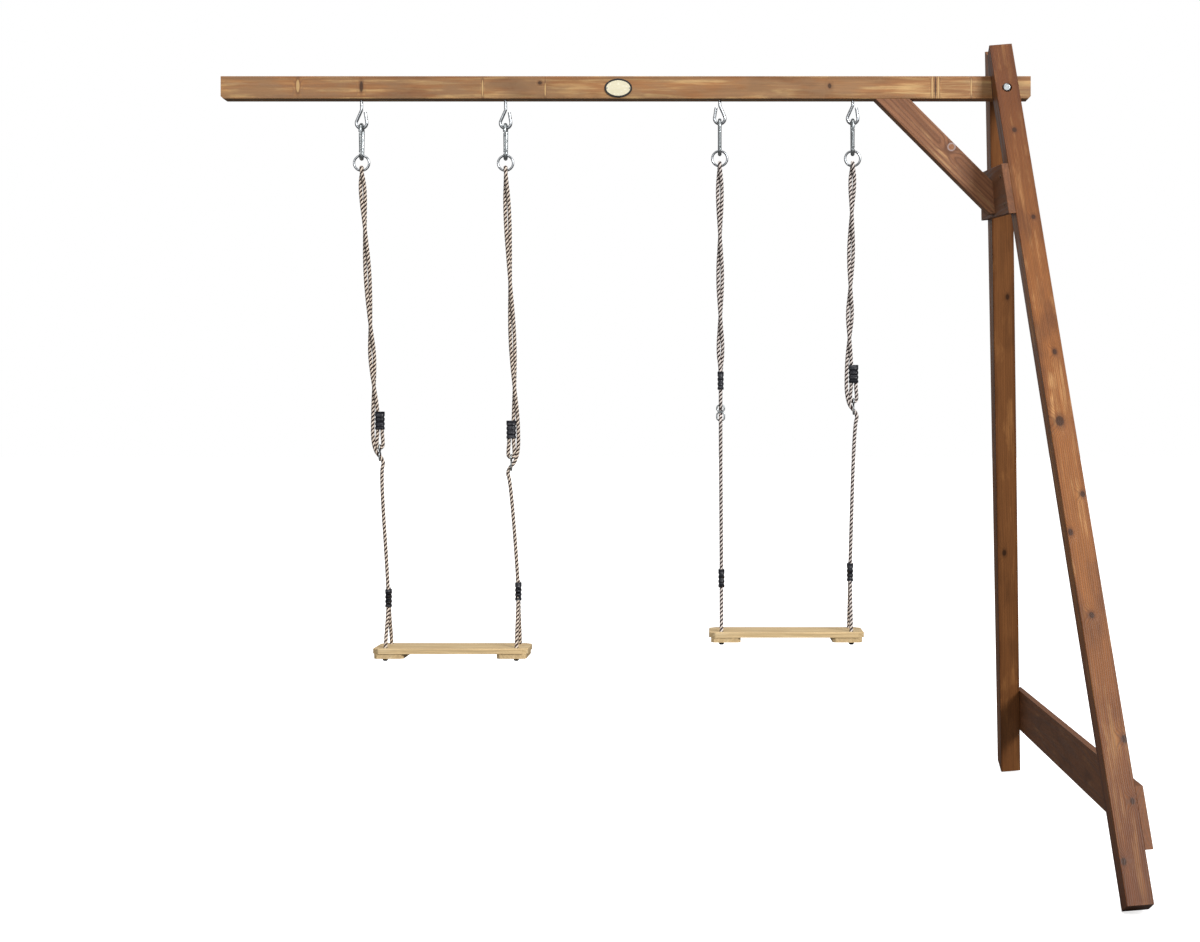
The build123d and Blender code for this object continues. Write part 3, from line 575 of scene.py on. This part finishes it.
@dataclass(frozen=True)
class LaidRope:
    """Four strands laid right-handed, two dark and two pale in turn.

    Attributes:
        radius: the rope's radius, in metres.
        lay: length of one turn of its strands.
        strands: number of strands.
        samples: points along each turn.
    """

    radius: float = 0.005
    lay: float = 0.0225
    strands: int = 4
    samples: int = 10

    def mesh(self, line: Sequence[Vector], name: str,
             colours: Sequence[bpy.types.Material]) -> bpy.types.Mesh:
        """Lay the strands round a line.

        Args:
            line: the rope's centre line.
            name: the mesh's name.
            colours: the materials that its strands take in turn.

        Returns:
            The strands' mesh; its UV map "strand" runs along and round each strand.
        """
        along = evenly(line, self.lay / self.samples)
        offset = self.radius * 0.54
        data = bpy.data.curves.new(name, "CURVE")
        data.dimensions = "3D"
        data.bevel_depth = self.radius * 0.50
        for colour in colours:
            data.materials.append(colour)
        data.bevel_resolution = 2
        data.use_fill_caps = True
        data.twist_mode = "MINIMUM"
        heading = (along[1] - along[0]).normalized()
        out = heading.orthogonal().normalized()
        places: list[tuple[Vector, Vector, Vector]] = []
        for number, here in enumerate(along):
            low, high = along[max(number - 1, 0)], along[min(number + 1, len(along) - 1)]
            turned = (high - low).normalized()
            out = heading.rotation_difference(turned) @ out
            out = (out - turned * out.dot(turned)).normalized()
            heading = turned
            places.append((here, out.copy(), turned.cross(out)))
        for strand in range(self.strands):
            spline = data.splines.new("POLY")
            spline.points.add(len(places) - 1)
            spline.material_index = strand % len(colours)
            spline.use_smooth = True
            for number, (here, first, second) in enumerate(places):
                turn = 2 * math.pi * (number / self.samples + strand / self.strands)
                spot = here + (first * math.cos(turn) + second * math.sin(turn)) * offset
                spline.points[number].co = (*spot, 1.0)
        mesh = evaluated_mesh(data)
        mesh.name = name
        if mesh.uv_layers:
            mesh.uv_layers[0].name = "strand"
        return mesh


@dataclass(frozen=True)
class Rope:
    """One suspension rope of a swing, with its short second end to the seat's back hole.

    Attributes:
        number: its number from the left.
        swing: the swing's name.
        hook_x: its hook, along the beam, in millimetres.
        hole_x: its seat holes.
        seat_top: the seat's top above the ground.
        link: the adjuster's waist above the ground.
        upper: underside of the upper ferrule.
        lower: underside of the lower ferrule.
        side: side on which the rising strand passes the upper ferrule, in degrees.
        turns: how far up to the ring each quarter turn of the two strands comes.
        ring_bottom: underside of its ring, from the beam axis.
        length: the rope's real length, in metres.
        short_length: its second end's length.
    """

    number: int
    swing: str
    hook_x: float
    hole_x: float
    seat_top: float
    link: float
    upper: float
    lower: float
    side: float
    turns: tuple[float, ...]
    ring_bottom: float
    length: float
    short_length: float

    FERRULE_HIGH = 48.0
    BORE = 5.6                # a ferrule's two bores, from its middle
    HOLE_Y = 50.0             # the seat's rope holes, from its middle
    PAIR = 7.4                # each of two twisted strands, from the line between them
    OVER = 8.9                # the rope's middle from the middle of the ring's wire
    SEAT_AND_CLEAT = 27.0

    def ground(self, height: float) -> float:
        """Height above the ground as a height from the beam axis, in millimetres."""
        return height - AXIS_HEIGHT / MM

    def loop_middle(self) -> tuple[Vector, Vector]:
        """Middle of the loop under the upper ferrule, and the direction of its side."""
        low, high = self.ground(self.lower), self.ring_bottom
        share = (self.ground(self.upper) - low) / (high - low)
        turn = math.radians(self.side)
        side = Vector((math.cos(turn), math.sin(turn), 0))
        along = self.hole_x + (self.hook_x - self.hole_x) * share
        return Vector((along, 0, 0)) - side * 6, side

    def beside(self, along: float, height: float) -> Vector:
        """A point beside the loop's middle, in millimetres."""
        middle, side = self.loop_middle()
        return middle + side * along + Vector((0, 0, height))

    def strand(self, opposite: bool) -> list[Vector]:
        """One strand's quarter turns round the other, from the ferrule up to the ring."""
        low = self.ground(self.upper) + self.FERRULE_HIGH
        start = self.beside(12, low)
        end = Vector((self.hook_x, 0, self.ring_bottom))
        points = []
        for count, share in enumerate(self.turns, 1):
            turn = math.radians(self.side - 90 * count + (180 if opposite else 0))
            points.append(start.lerp(end, share)
                          + Vector((math.cos(turn), math.sin(turn), 0)) * self.PAIR)
        return points

    def route(self) -> list[Vector]:
        """The rope's route from the seat's front hole to its end in the upper ferrule."""
        lower, upper = self.ground(self.lower), self.ground(self.upper)
        link, seat = self.ground(self.link), self.ground(self.seat_top)
        reach = self.OVER * math.tan(math.radians(22.5))
        top = self.FERRULE_HIGH
        route = [
            Vector((self.hole_x, -self.HOLE_Y, seat - self.SEAT_AND_CLEAT - 3)),
            Vector((self.hole_x, -self.HOLE_Y, seat + 10)),
            Vector((self.hole_x, -self.BORE, lower - 8)),
            Vector((self.hole_x, -self.BORE, lower + top + 8)),
            self.beside(-2, link - 52),
            self.beside(-13, link - 24.5),
            self.beside(19.5, link + 8),
            self.beside(18.5, upper + top + 6),
            *self.strand(False),
            Vector((self.hook_x, -self.OVER, self.ring_bottom + reach)),
            Vector((self.hook_x, -reach, self.ring_bottom + self.OVER)),
            Vector((self.hook_x, reach, self.ring_bottom + self.OVER)),
            Vector((self.hook_x, self.OVER, self.ring_bottom + reach)),
            *reversed(self.strand(True)),
            self.beside(self.BORE, upper + top + 8),
            self.beside(self.BORE, upper - 8),
            self.beside(8.2, link + 30),
            self.beside(8.0, link + 10.7),
            self.beside(-8.0, link + 10.7),
            self.beside(-8.2, link + 30),
            self.beside(-self.BORE, upper - 8),
            self.beside(-self.BORE, upper + top - 6),
        ]
        return [point * MM for point in route]

    def bridle_route(self) -> list[Vector]:
        """The short end's route from the lower ferrule to the seat's back hole."""
        lower, seat = self.ground(self.lower), self.ground(self.seat_top)
        route = [
            Vector((self.hole_x, self.BORE, lower + self.FERRULE_HIGH + 3)),
            Vector((self.hole_x, self.BORE, lower - 8)),
            Vector((self.hole_x, self.HOLE_Y, seat + 10)),
            Vector((self.hole_x, self.HOLE_Y, seat - self.SEAT_AND_CLEAT - 3)),
        ]
        return [point * MM for point in route]

    def build(self, lay: LaidRope, colours: Sequence[bpy.types.Material]) -> None:
        """Make the rope and its short end.

        Args:
            lay: how the rope is laid.
            colours: its dark and its pale strands' materials.
        """
        for name, route, length in (
                (f"rope_{self.number}", self.route(), self.length),
                (f"bridle_{self.number}", self.bridle_route(), self.short_length)):
            line = smooth_line(route, f"{name}_line")
            piece = finished(f"laid_{name}", lay.mesh(line, name, colours), (),
                             f"{self.swing}_seat", [name])


ROPES = (
    Rope(1, "left", 369.0, 441.0, 489.0, 1005.0, 1064.0, 592.0, 180.0,
         (0.12, 0.24, 0.37, 0.58, 0.79, 0.93), -217.4, 2.189, 0.194),
    Rope(2, "left", 752.0, 786.0, 489.0, 979.0, 1040.0, 610.0, 0.0,
         (0.14, 0.34, 0.57, 0.84), -217.4, 2.211, 0.211),
    Rope(3, "right", 1321.5, 1326.0, 532.0, 1111.0, 1170.0, 645.0, 90.0,
         (0.10, 0.27, 0.46, 0.66, 0.88), -205.4, 2.060, 0.203),
    Rope(4, "right", 1675.0, 1668.0, 532.0, 1128.0, 1188.0, 661.0, 180.0,
         (0.13, 0.25, 0.38, 0.56, 0.76, 0.92), -205.4, 2.045, 0.218),
)


# ---- ferrules ------------------------------------------------------------------------------
@dataclass(frozen=True)
class Ferrule:
    """A ribbed plastic clamp round two ropes side by side, in millimetres."""

    long: float = 26.0
    wide: float = 16.6
    waist: float = 1.4
    # Heights up the clamp, and how far each ring of its outline stands in from the ridges.
    profile: tuple[tuple[float, float], ...] = (
        (0, 1.2), (0.8, 0.35), (1.8, 0), (5.4, 0), (6.6, 0.5), (8, 1.4), (11, 1.4), (12.4, 0.5),
        (13.4, 0), (17.6, 0), (18.6, 0.5), (20, 1.4), (23, 1.4), (24.4, 0.5), (25.4, 0),
        (29.6, 0), (30.6, 0.5), (32, 1.4), (34.6, 1.4), (36, 0.5), (37.2, 0), (46, 0),
        (47.3, 0.35), (48, 1.2))

    def shape(self, bm: bmesh.types.BMesh, place: Matrix) -> None:
        """Add one clamp to a bmesh.

        Args:
            bm: the bmesh.
            place: where it stands, its long way along the matrix's first direction.
        """
        middle = (self.long - self.wide) / 2

        def ring_to(vertices: Sequence[bmesh.types.BMVert], height: float, inset: float) -> None:
            for vertex in vertices:
                centre = Vector((math.copysign(middle, vertex.co.x), 0, 0))
                out = Vector((vertex.co.x, vertex.co.y, 0)) - centre
                vertex.co = centre + out.normalized() * (self.wide / 2 - inset)
                vertex.co.z = height

        made = bmesh.ops.create_circle(bm, cap_ends=True, segments=36, radius=self.wide / 2,
                                       matrix=Matrix.Rotation(math.radians(5), 4, "Z"))
        ring = made["verts"]
        for vertex in ring:
            vertex.co.x += math.copysign(middle, vertex.co.x)
        every = list(ring)
        top = ring[0].link_faces[0]
        ring_to(ring, *self.profile[0])
        for height, inset in self.profile[1:]:
            grown = bmesh.ops.extrude_face_region(bm, geom=[top], use_keep_orig=height < 1)
            ring = [item for item in grown["geom"] if isinstance(item, bmesh.types.BMVert)]
            top = next(item for item in grown["geom"] if isinstance(item, bmesh.types.BMFace))
            ring_to(ring, height, inset)
            every.extend(ring)
        bmesh.ops.transform(bm, matrix=place, verts=every)

    def build(self, swing: str, ropes: Sequence[Rope], upper: bool,
              plastic: bpy.types.Material) -> None:
        """Make a swing's upper or lower pair.

        Args:
            swing: the swing's name.
            ropes: its two ropes.
            upper: whether this is the pair at the loops.
            plastic: the material.
        """
        bm = bmesh.new()
        for rope in ropes:
            if upper:
                middle, side = rope.loop_middle()
                middle.z = rope.ground(rope.upper)
            else:
                middle, side = Vector((rope.hole_x, 0, rope.ground(rope.lower))), Vector((0, 1, 0))
            turn = Matrix.Rotation(math.atan2(side.y, side.x), 4, "Z")
            self.shape(bm, Matrix.Translation(middle * MM) @ turn @ Matrix.Scale(MM, 4))
        level = "upper" if upper else "lower"
        mesh = mesh_of(bm, f"{swing}_{level}_clamps")
        finished(f"{swing}_{level}_clamps", mesh, [plastic], f"{swing}_seat",
                 [f"{swing}_{level}_ferrules"])


# ---- timber --------------------------------------------------------------------------------
def directions(grain: Vector, width: Vector) -> Matrix:
    """A timber's own directions, from its grain and its width."""
    grain = grain.normalized()
    width = (width - grain * width.dot(grain)).normalized()
    return Matrix((grain, width, grain.cross(width))).transposed()


@dataclass(frozen=True)
class Timber:
    """One timber of the frame or of a seat, which keeps its own shape.

    Attributes:
        node: the node.
        finish: its wood.
        grain: direction of its grain.
        width: direction of its width.
        knots: the knots that it shows.
    """

    node: str
    finish: WoodFinish
    grain: tuple[float, float, float]
    width: tuple[float, float, float]
    knots: tuple[Knot, ...] = ()

    def dress(self) -> None:
        """Give the node its wood."""
        low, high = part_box(self.node)
        turn = directions(Vector(self.grain), Vector(self.width))
        wood = self.finish.material(self.node, (low + high) / 2, turn, self.knots)
        dress(self.node, wood)
        log.info("%s: %s", self.node, self.finish.name)


def dress(node: str, material: bpy.types.Material) -> None:
    """Put one material on a node that keeps its own shape."""
    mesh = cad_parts[node].data
    mesh.materials.clear()
    mesh.materials.append(material)


FRAME_NORMAL = (math.cos(LEAN), 0.0, math.sin(LEAN))
FRONT_GRAIN = (math.sin(LEAN), -math.tan(SPLAY), -math.cos(LEAN))
BACK_GRAIN = (math.sin(LEAN), math.tan(SPLAY), -math.cos(LEAN))

TIMBERS = (
    Timber("beam", STAINED_BEAM, (1, 0, 0), (0, 0, 1), (
        Knot(-0.868, 0.004, 0.0225, (0.005, 0.018, 0.03), KnotKind.PALE),
        Knot(-0.70, 0.002, 0.0225, (0.005, 0.016, 0.03)),
        Knot(-0.379, -0.002, 0.0225, (0.0025, 0.024, 0.03), KnotKind.PALE),
        Knot(-0.227, 0.012, 0.0225, (0.006, 0.005, 0.03)),
        Knot(-0.213, -0.006, 0.0225, (0.002, 0.020, 0.03), KnotKind.PALE),
        Knot(0.54, 0.004, 0.0225, (0.005, 0.007, 0.03)),
        Knot(0.812, 0.0, 0.0225, (0.003, 0.034, 0.03), KnotKind.PALE),
        Knot(0.820, 0.0, 0.0225, (0.002, 0.030, 0.03)),
        Knot(0.828, 0.0, 0.0225, (0.003, 0.034, 0.03), KnotKind.PALE),
        Knot(0.915, 0.0, 0.0225, (0.002, 0.026, 0.03), KnotKind.PALE),
    )),
    Timber("front_leg", STAINED_LEG, FRONT_GRAIN, FRAME_NORMAL, (
        Knot(-0.86, 0.0, 0.035, (0.009, 0.007, 0.03)),
        Knot(-0.60, 0.012, 0.035, (0.008, 0.006, 0.03)),
        Knot(-0.22, 0.010, 0.035, (0.009, 0.006, 0.03)),
        Knot(-0.035, -0.005, 0.035, (0.016, 0.012, 0.03)),
        Knot(0.157, 0.021, 0.035, (0.009, 0.007, 0.03)),
        Knot(0.25, -0.022, 0.035, (0.010, 0.007, 0.03)),
        Knot(0.456, -0.004, 0.035, (0.009, 0.007, 0.03)),
        Knot(0.75, 0.024, 0.035, (0.011, 0.008, 0.03)),
        Knot(0.89, 0.019, 0.035, (0.009, 0.006, 0.03)),
        Knot(1.02, -0.021, 0.035, (0.010, 0.007, 0.03)),
    )),
    Timber("back_leg", STAINED_BACK_LEG, BACK_GRAIN, FRAME_NORMAL, (
        Knot(-0.45, 0.010, 0.035, (0.010, 0.006, 0.03)),
        Knot(0.35, -0.010, 0.035, (0.012, 0.007, 0.03)),
    )),
    Timber("top_spreader", STAINED_BOARD, (0, 1, 0), (0, 0, 1)),
    Timber("ground_crossbar", STAINED_BOARD, (0, 1, 0), (0, 0, 1)),
    Timber("knee_brace", STAINED_BRACE, (1, 0, -1), (0, 1, 0), (
        Knot(0.014, -0.0225, 0.048, (0.012, 0.03, 0.012), KnotKind.RINGED),
    )),
    Timber("left_seat_board", BARE_PINE, (1, 0, 0), (0, 1, 0)),
    Timber("left_seat_cleats", BARE_PINE, (0, 1, 0), (1, 0, 0)),
    Timber("right_seat_board", BARE_PINE, (1, 0, 0), (0, 1, 0)),
    Timber("right_seat_cleats", BARE_PINE, (0, 1, 0), (1, 0, 0)),
)


# ---- badge ---------------------------------------------------------------------------------
@dataclass(frozen=True)
class Badge:
    """The plain oval plate at the beam's middle, in millimetres."""

    along: float = 1053.0
    high: float = -2.0
    long: float = 73.0
    short: float = 50.0
    thick: float = 3.0
    rim: float = 4.6

    def build(self, cream: bpy.types.Material, dark: bpy.types.Material) -> None:
        """Make the plate: a dark rim round a slightly domed cream face."""
        bm = bmesh.new()
        made = bmesh.ops.create_circle(bm, cap_ends=True, segments=64, radius=1.0)
        bmesh.ops.scale(bm, vec=(self.long / 2, self.short / 2, 1), verts=made["verts"])
        face = bm.faces[:][0]
        grown = bmesh.ops.extrude_face_region(bm, geom=[face], use_keep_orig=True)
        top = next(item for item in grown["geom"] if isinstance(item, bmesh.types.BMFace))
        raised = [item for item in grown["geom"] if isinstance(item, bmesh.types.BMVert)]
        bmesh.ops.translate(bm, vec=(0, 0, self.thick - 0.8), verts=raised)
        for thickness, height in ((0.5, 0.6), (self.rim - 1.2, 0.2), (0.7, -0.6)):
            bmesh.ops.inset_region(bm, faces=[top], thickness=thickness, use_even_offset=True)
            bmesh.ops.translate(bm, vec=(0, 0, height), verts=top.verts)
        rim_faces = set(bm.faces) - {top}
        bmesh.ops.inset_region(bm, faces=[top], thickness=0.4, use_even_offset=True)
        centre = bmesh.ops.poke(bm, faces=[top])
        for vertex in centre["verts"]:
            vertex.co.z += 0.7
        for item in bm.faces:
            item.material_index = 1 if item in rim_faces else 0
        turn = Matrix.Rotation(math.radians(90), 4, "X")
        place = Matrix.Translation(Vector((self.along, -22.5, self.high)) * MM) @ turn
        bmesh.ops.transform(bm, matrix=place @ Matrix.Scale(MM, 4), verts=bm.verts)
        finished("oval_badge", mesh_of(bm, "oval_badge", False), [cream, dark], "frame",
                 ["badge"])


# ---- studio --------------------------------------------------------------------------------
@dataclass(frozen=True)
class Studio:
    """Pale floor, soft light and the camera.

    Attributes:
        camera: the camera's place.
        lens: its focal length for a sensor 36 mm wide, in millimetres.
        shift: how far its frame is shifted, in frame widths.
        walls_seen: how bright the white walls look.
        walls_light: how bright they are as a light.
        floor_glow: light that the floor adds to what it reflects, to look white.
    """

    camera: tuple[float, float, float] = (1.309, -5.0, 1.039 - AXIS_HEIGHT)
    lens: float = 56.4
    shift: tuple[float, float] = (-115 / 1200, -32 / 1200)
    walls_seen: float = 1.0
    walls_light: float = 0.36
    floor_glow: float = 0.66

    def set_camera(self) -> None:
        """Stand the camera level, in front of the swings, square to the beam."""
        data = bpy.data.cameras.new("camera")
        data.sensor_width = 36.0
        data.lens = self.lens
        data.shift_x, data.shift_y = self.shift
        camera = bpy.data.objects.new("camera", data)
        camera.location = self.camera
        camera.rotation_euler = (math.pi / 2, 0, 0)
        bpy.context.scene.collection.objects.link(camera)
        bpy.context.scene.camera = camera

    def set_light(self) -> None:
        """Light the swing set softly, mostly from the front right and above."""
        for name, place, size, power in (
                ("key", (6.6, -7.4, 3.2), 3.2, 830.0),
                ("fill", (-2.5, -7.5, 1.5), 4.0, 150.0),
                ("top", (1.4, -1.2, 5.0), 3.5, 140.0)):
            data = bpy.data.lights.new(name, "AREA")
            data.shape = "SQUARE"
            data.size = size
            data.energy = power
            lamp = bpy.data.objects.new(name, data)
            lamp.location = place
            aim = Vector((1.2, 0, -0.9)) - Vector(place)
            lamp.rotation_euler = aim.to_track_quat("-Z", "Y").to_euler()
            bpy.context.scene.collection.objects.link(lamp)
        bpy.context.scene.view_settings.view_transform = "Standard"

    def set_walls(self) -> None:
        """Surround the set with white that lights it only gently."""
        world = bpy.data.worlds.new("studio")
        world.use_nodes = True
        tree = world.node_tree
        walls = tree.nodes["Background"]
        walls.inputs["Color"].default_value = (1, 1, 1, 1)
        ray = tree.nodes.new("ShaderNodeLightPath")
        strength = tree.nodes.new("ShaderNodeMapRange")
        strength.inputs["To Min"].default_value = self.walls_light
        strength.inputs["To Max"].default_value = self.walls_seen
        tree.links.new(ray.outputs["Is Camera Ray"], strength.inputs["Value"])
        tree.links.new(strength.outputs[0], walls.inputs["Strength"])
        bpy.context.scene.world = world

    def set_floor(self) -> None:
        """Lay a plain pale floor under the legs' lowest corners.

        It looks white, and throws little light back at the undersides.
        """
        graph = Graph("pale_floor")
        graph.surface(stain(250, 250, 250), 0.9)
        graph.shader.inputs["Emission Color"].default_value = (1, 1, 1, 1)
        split = graph.node("ShaderNodeSeparateXYZ")
        graph.feed(split.inputs[0], graph.placed((0, 0, 0), Matrix.Identity(3)))
        graph.feed(graph.shader.inputs["Emission Strength"],
                   graph.band(split.outputs[1], 0.2, 2.2, self.floor_glow, 1.0))
        graph.shader.inputs["Specular IOR Level"].default_value = 0.0
        dark = graph.node("ShaderNodeBsdfDiffuse")
        dark.inputs["Color"].default_value = (0.15, 0.15, 0.15, 1)
        ray = graph.node("ShaderNodeLightPath")
        mixed = graph.node("ShaderNodeMixShader")
        graph.feed(mixed.inputs[0], ray.outputs["Is Camera Ray"])
        graph.feed(mixed.inputs[1], dark.outputs[0])
        graph.feed(mixed.inputs[2], graph.shader.outputs[0])
        graph.feed(graph.tree.nodes["Material Output"].inputs["Surface"], mixed.outputs[0])
        bm = bmesh.new()
        bmesh.ops.create_grid(bm, x_segments=1, y_segments=1, size=60.0)
        bmesh.ops.translate(bm, vec=(0, 40, cad_bounds[0].z - 0.001), verts=bm.verts)
        mesh = mesh_of(bm, "floor", False)
        mesh.materials.append(graph.material)
        floor = bpy.data.objects.new("floor", mesh)
        bpy.context.scene.collection.objects.link(floor)


# ---- the whole -----------------------------------------------------------------------------
def dress_hardware() -> None:
    """Give the metal and plastic nodes that keep their shape their finishes."""
    bright, dull = BRIGHT_ZINC.material(), DULL_ZINC.material()
    black = BLACK_PLASTIC.material()
    for number in range(1, 5):
        for node in (f"hook_{number}", f"ring_{number}"):
            dress(node, bright)
        for node in (f"carabiner_{number}", f"gate_{number}", f"adjuster_{number}"):
            dress(node, dull)
    for node in ("frame_bolt", "frame_nut", "badge_nails"):
        dress(node, dull)
    stained = STAINED_SCREW.material()
    for node in ("spreader_screws", "crossbar_screws", "brace_screws"):
        dress(node, stained)
    for swing in ("left", "right"):
        dress(f"{swing}_gate_rivets", bright)
        dress(f"{swing}_seat_screws", bright)
        dress(f"{swing}_seat_stoppers", black)


def main() -> None:
    """Build the ropes first, then the rest, and the studio round them."""
    studio = Studio()
    studio.set_camera()
    lay = LaidRope()
    colours = {"left": RUSTY_ROPE.materials(), "right": BROWN_ROPE.materials()}
    for rope in ROPES:
        rope.build(lay, colours[rope.swing])
    plastic = CLAMP_PLASTIC.material()
    for swing in ("left", "right"):
        pair = [rope for rope in ROPES if rope.swing == swing]
        for upper in (True, False):
            Ferrule().build(swing, pair, upper, plastic)
    Badge().build(BADGE_CREAM.material(), BADGE_RIM.material())
    for timber in TIMBERS:
        timber.dress()
    dress_hardware()
    studio.set_light()
    studio.set_walls()
    studio.set_floor()


if __name__ == "__main__":
    main()
